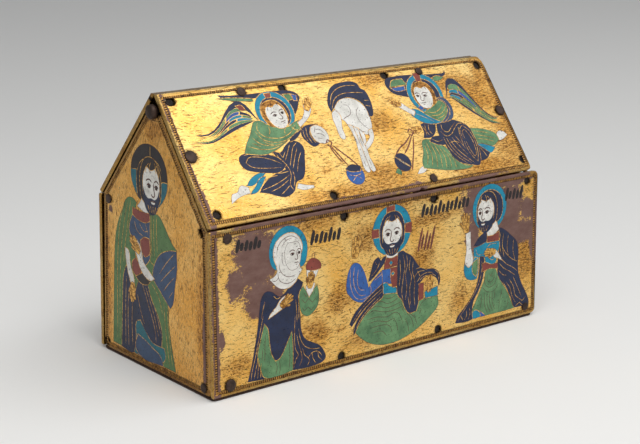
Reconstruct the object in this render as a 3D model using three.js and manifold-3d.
// A small house-shaped reliquary casket of six nailed copper plaques on a base plate.
// Millimetres, +Z up. The origin is on the underside, below the middle of the base.
// The front faces -Y and the left gable faces -X.

import * as THREE from 'three';
import { mergeVertices } from 'three/addons/utils/BufferGeometryUtils.js';
import Module from 'manifold-3d';

const wasm = await Module();
wasm.setup();

// Driving dimensions of the whole casket.
const LENGTH = 189;
const WIDTH = 85;
const HEIGHT = 120;

// Sheet thicknesses.
const BASE_THICKNESS = 1.2;
const WALL_THICKNESS = 1.8;
const GABLE_THICKNESS = 1.8;
const ROOF_THICKNESS = 2;

// How the plaques stand: walls leaning in, roofs meeting in a narrow flat ridge.
const SEAT_GAP = 0.2;
const WALL_HEIGHT = 69.2;
const FRONT_LEAN = 2.5;
const BACK_LEAN = 0.6;
const EAVE_GAP = 1.3;
const RIDGE_OFFSET = -1.2;
const RIDGE_FLAT = 4.2;
const RIDGE_JOINT = 0.3;

// The roofs start just inside the left end and stop short of the right end.
const ROOF_LEFT_INSET = 0.4;
const FRONT_ROOF_RIGHT_INSET = 4.3;
const BACK_ROOF_RIGHT_INSET = 4.8;

// The gables stand between the walls with open seams round them. The right one is set
// further in, under the short end of the roofs.
const LEFT_GABLE_RECESS = 0.5;
const RIGHT_GABLE_RECESS = 4.4;
const GABLE_FRONT_SEAM = { bottom: 0.9, top: 0.5 };
const GABLE_BACK_SEAM = { bottom: 0.4, top: 1.9 };
const GABLE_ROOF_SEAM = 0.9;
const GABLE_TIP_WIDTH = 4.2;
const BROKEN_TIP_HEIGHT = 111.6;

const BASE_INSET = 0.7;
const BASE_CORNER_RADIUS = 3;

// Border channel that the beading lies in, edge chamfer and nail holes.
const EDGE_CHAMFER = 0.3;
const CHANNEL_INSET = 1.3;
const CHANNEL_WIDTH = 1.4;
const CHANNEL_DEPTH = 0.25;
const HOLE_RADIUS = 1.85;
const HOLE_SIDES = 12;
const ARC_STEPS = 4;

// Surviving nails: a low domed head on a short shank.
const SHANK_RADIUS = 1.3;
const SHANK_LENGTH = 2.4;
const HEAD_LIFT = 0.1;
const NAIL_SIDES = 10;
const DOME_STEPS = 3;

const GILDED_COPPER = { color: 0xd9a441, roughness: 0.35, metalness: 1 };
const DARK_COPPER = { color: 0x3a2a24, roughness: 0.6, metalness: 1 };
const NAIL_METAL = { color: 0x54403a, roughness: 0.55, metalness: 1 };

const wallBottom = BASE_THICKNESS + SEAT_GAP;
const wallTop = wallBottom + WALL_HEIGHT;
const eaveHeight = wallTop + EAVE_GAP;
const frontEaveY = -WIDTH / 2 + FRONT_LEAN;
const backEaveY = WIDTH / 2 - BACK_LEAN;
const frontRidgeY = RIDGE_OFFSET - RIDGE_FLAT / 2;
const backRidgeY = RIDGE_OFFSET + RIDGE_FLAT / 2;

const frontLeanAngle = Math.asin(FRONT_LEAN / WALL_HEIGHT);
const backLeanAngle = Math.asin(BACK_LEAN / WALL_HEIGHT);
const frontPitch = Math.atan2(HEIGHT - eaveHeight, frontRidgeY - frontEaveY);
const backPitch = Math.atan2(HEIGHT - eaveHeight, backEaveY - backRidgeY);
const frontSlope = Math.hypot(HEIGHT - eaveHeight, frontRidgeY - frontEaveY);
const backSlope = Math.hypot(HEIGHT - eaveHeight, backEaveY - backRidgeY);
const frontRoofLength = LENGTH - ROOF_LEFT_INSET - FRONT_ROOF_RIGHT_INSET;
const backRoofLength = LENGTH - ROOF_LEFT_INSET - BACK_ROOF_RIGHT_INSET;

// The corners of a polygon moved inwards by a distance. Corners run anticlockwise.
function inset(corners, distance) {
  return corners.map((corner, index) => {
    const before = corners[(index + corners.length - 1) % corners.length];
    const after = corners[(index + 1) % corners.length];
    const arriving = corner.clone().sub(before).normalize();
    const leaving = after.clone().sub(corner).normalize();
    const turn = arriving.x * leaving.y - arriving.y * leaving.x;
    const shift = leaving.clone().sub(arriving).multiplyScalar(distance / turn);
    return corner.clone().add(shift);
  });
}

// A closed outline through the corners, each rounded by its own radius.
function roundedOutline(corners, radii) {
  const points = [];
  corners.forEach((corner, index) => {
    const radius = radii[index];
    if (radius <= 0) {
      points.push(corner.clone());
      return;
    }
    const before = corners[(index + corners.length - 1) % corners.length];
    const after = corners[(index + 1) % corners.length];
    const back = before.clone().sub(corner).normalize();
    const on = after.clone().sub(corner).normalize();
    const halfAngle = back.angleTo(on) / 2;
    const reach = radius / Math.tan(halfAngle);
    const start = corner.clone().addScaledVector(back, reach);
    const end = corner.clone().addScaledVector(on, reach);
    const curve = new THREE.QuadraticBezierCurve(start, corner, end);
    points.push(...curve.getPoints(ARC_STEPS));
  });
  return points;
}

function rectangle(left, bottom, right, top) {
  return [
    new THREE.Vector2(left, bottom),
    new THREE.Vector2(right, bottom),
    new THREE.Vector2(right, top),
    new THREE.Vector2(left, top),
  ];
}

// A round hole in a plaque, a little squashed where the nail was wrenched out sideways.
function nailHole({ at, stretch = 1, radius = HOLE_RADIUS }) {
  const points = [];
  for (let side = 0; side < HOLE_SIDES; side += 1) {
    const angle = (-2 * Math.PI * side) / HOLE_SIDES;
    const across = at[0] + radius * stretch * Math.cos(angle);
    const up = at[1] + radius * Math.sin(angle);
    points.push(new THREE.Vector2(across, up));
  }
  return new THREE.Path(points);
}

// A flat sheet whose outer face is at z = 0 and which reaches down by its thickness.
function sheet(outline, holes, thickness, chamfer) {
  const shape = new THREE.Shape(outline);
  shape.holes.push(...holes);
  const geometry = new THREE.ExtrudeGeometry(shape, {
    depth: thickness - 2 * chamfer,
    bevelEnabled: chamfer > 0,
    bevelThickness: chamfer,
    bevelSize: chamfer,
    bevelOffset: -chamfer,
    bevelSegments: 1,
    curveSegments: ARC_STEPS,
  });
  geometry.translate(0, 0, chamfer - thickness);
  return geometry;
}

function toManifold(geometry) {
  const bare = geometry.clone();
  bare.deleteAttribute('normal');
  bare.deleteAttribute('uv');
  const merged = mergeVertices(bare, 1e-4);
  const vertProperties = new Float32Array(merged.attributes.position.array);
  const triVerts = new Uint32Array(merged.index.array);
  return new wasm.Manifold(new wasm.Mesh({ numProp: 3, vertProperties, triVerts }));
}

function toGeometry(solid) {
  const mesh = solid.getMesh();
  const geometry = new THREE.BufferGeometry();
  geometry.setAttribute('position', new THREE.BufferAttribute(mesh.vertProperties, 3));
  geometry.setIndex(new THREE.BufferAttribute(mesh.triVerts, 1));
  const facets = geometry.toNonIndexed();
  facets.computeVertexNormals();
  return facets;
}

// The shallow channel that runs round a plaque just inside its edge.
function borderChannel(corners, radii) {
  const outer = roundedOutline(inset(corners, CHANNEL_INSET), radii);
  const innerCorners = inset(corners, CHANNEL_INSET + CHANNEL_WIDTH);
  const inner = new THREE.Path(roundedOutline(innerCorners, radii));
  const ring = sheet(outer, [inner], 2 * CHANNEL_DEPTH, 0);
  ring.translate(0, 0, CHANNEL_DEPTH);
  return ring;
}

// A plaque: its outline, pierced for nails, with the border channel cut in its face.
function plaqueSolid({ corners, radii, nails, thickness }) {
  const outline = roundedOutline(corners, radii);
  const holes = nails.map(nailHole);
  const body = toManifold(sheet(outline, holes, thickness, EDGE_CHAMFER));
  const channelRadii = radii.map((radius) => Math.max(radius - CHANNEL_INSET, 0));
  return body.subtract(toManifold(borderChannel(corners, channelRadii)));
}

function namedMesh(name, geometry, look) {
  const mesh = new THREE.Mesh(geometry, new THREE.MeshStandardMaterial(look));
  mesh.name = name;
  return mesh;
}

// A group whose local X runs along a face, Y up it and Z out of it.
function faceGroup({ x = 0, y = 0, z = 0, turn = 0, tilt = Math.PI / 2 }) {
  const group = new THREE.Group();
  group.position.set(x, y, z);
  group.rotation.set(tilt, 0, turn, 'ZYX');
  group.updateMatrix();
  return group;
}

// A nail: domed head resting just off the plaque, on a shank that passes through its hole.
function nailGeometry(headRadius, headHeight, dimple = 0) {
  const profile = [
    new THREE.Vector2(0, -SHANK_LENGTH),
    new THREE.Vector2(SHANK_RADIUS * 0.6, -SHANK_LENGTH),
    new THREE.Vector2(SHANK_RADIUS, -SHANK_LENGTH * 0.7),
    new THREE.Vector2(SHANK_RADIUS, HEAD_LIFT),
    new THREE.Vector2(headRadius, HEAD_LIFT),
  ];
  for (let step = 1; step < DOME_STEPS; step += 1) {
    const angle = (step / DOME_STEPS) * (Math.PI / 2);
    const height = HEAD_LIFT + headHeight * Math.sin(angle);
    profile.push(new THREE.Vector2(headRadius * Math.cos(angle), height));
  }
  profile.push(new THREE.Vector2(0, HEAD_LIFT + headHeight - dimple));
  const geometry = new THREE.LatheGeometry(profile, NAIL_SIDES);
  geometry.rotateX(Math.PI / 2);
  return geometry;
}

// The plaque, and the nails that are still in it, on the group of its face.
function addPlaque(face, name, plaque, solid = plaqueSolid(plaque)) {
  face.add(namedMesh(name, toGeometry(solid), GILDED_COPPER));
  plaque.nails.filter((nail) => nail.head).forEach((nail) => {
    const { label, radius, height, dimple } = nail.head;
    const mesh = namedMesh(`${name}_nail_${label}`, nailGeometry(radius, height, dimple), NAIL_METAL);
    mesh.position.set(nail.at[0], nail.at[1], 0);
    face.add(mesh);
  });
}

function makeBasePlate() {
  const halfLength = LENGTH / 2 - BASE_INSET;
  const halfWidth = WIDTH / 2 - BASE_INSET;
  const corners = rectangle(-halfLength, -halfWidth, halfLength, halfWidth);
  const outline = roundedOutline(corners, corners.map(() => BASE_CORNER_RADIUS));
  const geometry = sheet(outline, [], BASE_THICKNESS, EDGE_CHAMFER);
  geometry.translate(0, 0, BASE_THICKNESS);
  return namedMesh('base_plate', geometry, DARK_COPPER);
}

// Front wall: eight nail holes; two nails remain below and one stub fills the first above.
function makeFrontWall() {
  const face = faceGroup({
    x: -LENGTH / 2,
    y: -WIDTH / 2,
    z: wallBottom,
    tilt: Math.PI / 2 - frontLeanAngle,
  });
  const top = WALL_HEIGHT - 3.9;
  addPlaque(face, 'front_wall', {
    corners: rectangle(0, 0, LENGTH, WALL_HEIGHT),
    radii: [0.8, 3, 3, 0.8],
    thickness: WALL_THICKNESS,
    nails: [
      { at: [8.8, 4.2], head: { label: 'bottom_left', radius: 2.7, height: 0.7, dimple: 0.3 } },
      { at: [67.8, 3.8] },
      { at: [125, 4.2] },
      { at: [182, 4.2], head: { label: 'bottom_right', radius: 2, height: 0.5, dimple: 0 } },
      { at: [8.9, top], head: { label: 'top_left', radius: 2.3, height: 0.2, dimple: 0 } },
      { at: [69.8, top], stretch: 1.1 },
      { at: [122, top], stretch: 1.2 },
      { at: [181.8, top] },
    ],
  });
  return face;
}

// Back wall: the same plan of nails, with three of them left.
function makeBackWall() {
  const face = faceGroup({
    x: LENGTH / 2,
    y: WIDTH / 2,
    z: wallBottom,
    turn: Math.PI,
    tilt: Math.PI / 2 - backLeanAngle,
  });
  const top = WALL_HEIGHT - 3.6;
  addPlaque(face, 'back_wall', {
    corners: rectangle(0, 0, LENGTH, WALL_HEIGHT),
    radii: [3, 0.8, 0.8, 3],
    thickness: WALL_THICKNESS,
    nails: [
      { at: [7, 4.2] },
      { at: [64, 4], head: { label: 'bottom', radius: 2.3, height: 0.6, dimple: 0 } },
      { at: [122, 4] },
      { at: [181, 4], head: { label: 'bottom_end', radius: 2.5, height: 0.6, dimple: 0.2 } },
      { at: [7, top], head: { label: 'top_end', radius: 2.4, height: 0.6, dimple: 0 } },
      { at: [64, top] },
      { at: [122, top], stretch: 1.1 },
      { at: [181, top] },
    ],
  });
  return face;
}

// A roof slab reaching past the ridge, trimmed level on top and plumb at the ridge joint.
function roofSolid(face, plaque, reach, side) {
  const block = new THREE.BoxGeometry(2 * LENGTH, WIDTH, WIDTH);
  const overTop = block.clone().translate(0, 0, HEIGHT + WIDTH / 2);
  const jointY = RIDGE_OFFSET + (side * RIDGE_JOINT) / 2;
  const pastRidge = block.clone().translate(0, jointY - (side * WIDTH) / 2, HEIGHT);
  const toFace = face.matrix.clone().invert();
  const long = plaque.corners.map((corner) => corner.clone());
  long[2].y += reach;
  long[3].y += reach;
  const outline = roundedOutline(long, plaque.radii);
  const slab = toManifold(sheet(outline, plaque.nails.map(nailHole), ROOF_THICKNESS, EDGE_CHAMFER));
  const channel = toManifold(borderChannel(plaque.corners, plaque.radii.map((radius) => radius * 0.7)));
  return slab
    .subtract(channel)
    .subtract(toManifold(overTop.applyMatrix4(toFace)))
    .subtract(toManifold(pastRidge.applyMatrix4(toFace)));
}

// Front roof: ten nail holes, five with a nail; a nick in the eave near the middle.
function makeFrontRoof() {
  const face = faceGroup({
    x: ROOF_LEFT_INSET - LENGTH / 2,
    y: frontEaveY,
    z: eaveHeight,
    tilt: frontPitch,
  });
  const top = frontSlope - 3.8;
  const middle = frontSlope * 0.52;
  const corners = rectangle(0, 0, frontRoofLength, frontSlope);
  const plaque = {
    corners,
    radii: [0.8, 2.5, 7, 0.8],
    nails: [
      { at: [6, 5.3] },
      { at: [66, 4.6] },
      { at: [123.2, 4.1], head: { label: 'eave', radius: 2.1, height: 0.4, dimple: 0 } },
      { at: [181.3, 5.4] },
      { at: [4.4, middle], head: { label: 'left_end', radius: 2.9, height: 0.7, dimple: 0 } },
      { at: [180.6, middle], head: { label: 'right_end', radius: 2.6, height: 0.7, dimple: 0 } },
      { at: [5.3, top], stretch: 1.35 },
      { at: [41, top + 0.4], head: { label: 'ridge_left', radius: 2.3, height: 0.4, dimple: 0 } },
      { at: [62.6, top] },
      { at: [121, top], stretch: 1.1 },
      { at: [142, top - 0.2], head: { label: 'ridge_right', radius: 2, height: 0.4, dimple: 0 } },
      { at: [179.5, top - 0.6] },
    ],
  };
  const reach = ROOF_THICKNESS / Math.tan(frontPitch);
  const whole = roofSolid(face, plaque, reach, -1);
  const nick = new THREE.CylinderGeometry(1.6, 1.6, 4 * ROOF_THICKNESS, HOLE_SIDES);
  nick.rotateX(Math.PI / 2).translate(114.5, -0.7, 0);
  addPlaque(face, 'front_roof', plaque, whole.subtract(toManifold(nick)));
  return face;
}

// Back roof: shorter at the right end of the casket, with four nails left.
function makeBackRoof() {
  const face = faceGroup({
    x: LENGTH / 2 - BACK_ROOF_RIGHT_INSET,
    y: backEaveY,
    z: eaveHeight,
    turn: Math.PI,
    tilt: backPitch,
  });
  const top = backSlope - 4;
  const middle = backSlope / 2;
  const plaque = {
    corners: rectangle(0, 0, backRoofLength, backSlope),
    radii: [2.5, 0.8, 0.8, 7],
    nails: [
      { at: [6, 5] },
      { at: [61, 4.5] },
      { at: [120, 4.5], head: { label: 'eave', radius: 2.2, height: 0.5, dimple: 0 } },
      { at: [175.5, 5] },
      { at: [5.6, middle], head: { label: 'right_end', radius: 2.6, height: 0.7, dimple: 0 } },
      { at: [176.5, middle], head: { label: 'left_end', radius: 2.7, height: 0.7, dimple: 0.2 } },
      { at: [7, top] },
      { at: [61, top], head: { label: 'ridge', radius: 2.2, height: 0.5, dimple: 0 } },
      { at: [120, top] },
      { at: [175, top], stretch: 1.2 },
    ],
  };
  const reach = ROOF_THICKNESS / Math.tan(backPitch);
  addPlaque(face, 'back_roof', plaque, roofSolid(face, plaque, reach, 1));
  return face;
}

// Where a gable's front and back edges stand (y) at a height, a seam away from the walls.
function frontSideY(height, seam) {
  const share = (height - wallBottom) / WALL_HEIGHT;
  return -WIDTH / 2 + WALL_THICKNESS + FRONT_LEAN * share + seam;
}

function backSideY(height, seam) {
  const share = (height - wallBottom) / WALL_HEIGHT;
  return WIDTH / 2 - WALL_THICKNESS - BACK_LEAN * share - seam;
}

// How high a gable reaches under the roofs at a place across the casket.
function slopeHeight(y) {
  const drop = ROOF_THICKNESS + GABLE_ROOF_SEAM;
  const front = HEIGHT + (y - frontRidgeY) * Math.tan(frontPitch) - drop / Math.cos(frontPitch);
  const back = HEIGHT - (y - backRidgeY) * Math.tan(backPitch) - drop / Math.cos(backPitch);
  return Math.min(front, back);
}

// The six corners of a gable, each as y across and z up.
function gableCorners() {
  const bottom = wallBottom;
  const frontShoulderY = frontSideY(wallTop, GABLE_FRONT_SEAM.top);
  const backShoulderY = backSideY(wallTop, GABLE_BACK_SEAM.top);
  const tipY = RIDGE_OFFSET;
  return {
    bottomFront: [frontSideY(bottom, GABLE_FRONT_SEAM.bottom), bottom],
    bottomBack: [backSideY(bottom, GABLE_BACK_SEAM.bottom), bottom],
    backShoulder: [backShoulderY, slopeHeight(backShoulderY)],
    backTip: [tipY + GABLE_TIP_WIDTH / 2, slopeHeight(tipY + GABLE_TIP_WIDTH / 2)],
    frontTip: [tipY - GABLE_TIP_WIDTH / 2, slopeHeight(tipY - GABLE_TIP_WIDTH / 2)],
    frontShoulder: [frontShoulderY, slopeHeight(frontShoulderY)],
  };
}

// Left gable: its tip is broken away round the big domed nail at the top.
function makeLeftGable() {
  const face = faceGroup({ x: LEFT_GABLE_RECESS - LENGTH / 2, turn: -Math.PI / 2 });
  const places = gableCorners();
  const order = ['bottomBack', 'bottomFront', 'frontShoulder', 'frontTip', 'backTip', 'backShoulder'];
  const corners = order.map((key) => new THREE.Vector2(-places[key][0], places[key][1]));
  const nailTop = BROKEN_TIP_HEIGHT + 1.2;
  const plaque = {
    corners,
    radii: [3.5, 2, 1, 0.6, 0.6, 1],
    thickness: GABLE_THICKNESS,
    nails: [
      { at: [-37.7, 4.2], radius: 1.75 },
      { at: [35.6, 4.3], head: { label: 'foot', radius: 2.1, height: 0.5, dimple: 0 } },
      { at: [-34.4, 69.4], head: { label: 'shoulder', radius: 2.2, height: 0.5, dimple: 0 } },
      { at: [34.4, 69.2], radius: 2 },
    ],
  };
  const tip = new THREE.BoxGeometry(20, 20, 20);
  tip.translate(0, BROKEN_TIP_HEIGHT + 10, 0);
  const notch = new THREE.CylinderGeometry(2.6, 2.6, 4 * GABLE_THICKNESS, HOLE_SIDES);
  notch.rotateX(Math.PI / 2).translate(-RIDGE_OFFSET, BROKEN_TIP_HEIGHT, 0);
  const whole = plaqueSolid(plaque);
  const broken = whole.subtract(toManifold(tip)).subtract(toManifold(notch));
  addPlaque(face, 'left_gable', plaque, broken);
  const apex = namedMesh('left_gable_nail_apex', nailGeometry(3.3, 2.4), NAIL_METAL);
  apex.position.set(-RIDGE_OFFSET, nailTop, 0);
  face.add(apex);
  return face;
}

// Right gable: whole, with its tip under the ridge.
function makeRightGable() {
  const face = faceGroup({ x: LENGTH / 2 - RIGHT_GABLE_RECESS, turn: Math.PI / 2 });
  const places = gableCorners();
  const order = ['bottomFront', 'bottomBack', 'backShoulder', 'backTip', 'frontTip', 'frontShoulder'];
  const corners = order.map((key) => new THREE.Vector2(places[key][0], places[key][1]));
  addPlaque(face, 'right_gable', {
    corners,
    radii: [2, 3.5, 1, 0.6, 0.6, 1],
    thickness: GABLE_THICKNESS,
    nails: [
      { at: [-36, 6] },
      { at: [37, 6], head: { label: 'foot', radius: 2.2, height: 0.5, dimple: 0 } },
      { at: [-35, 69.5] },
      { at: [35, 69.5] },
      { at: [RIDGE_OFFSET, 107.5], head: { label: 'apex', radius: 2.6, height: 1, dimple: 0 } },
    ],
  });
  return face;
}

const casket = new THREE.Group();
casket.add(
  makeBasePlate(),
  makeFrontWall(),
  makeBackWall(),
  makeLeftGable(),
  makeRightGable(),
  makeFrontRoof(),
  makeBackRoof(),
);

export default casket;
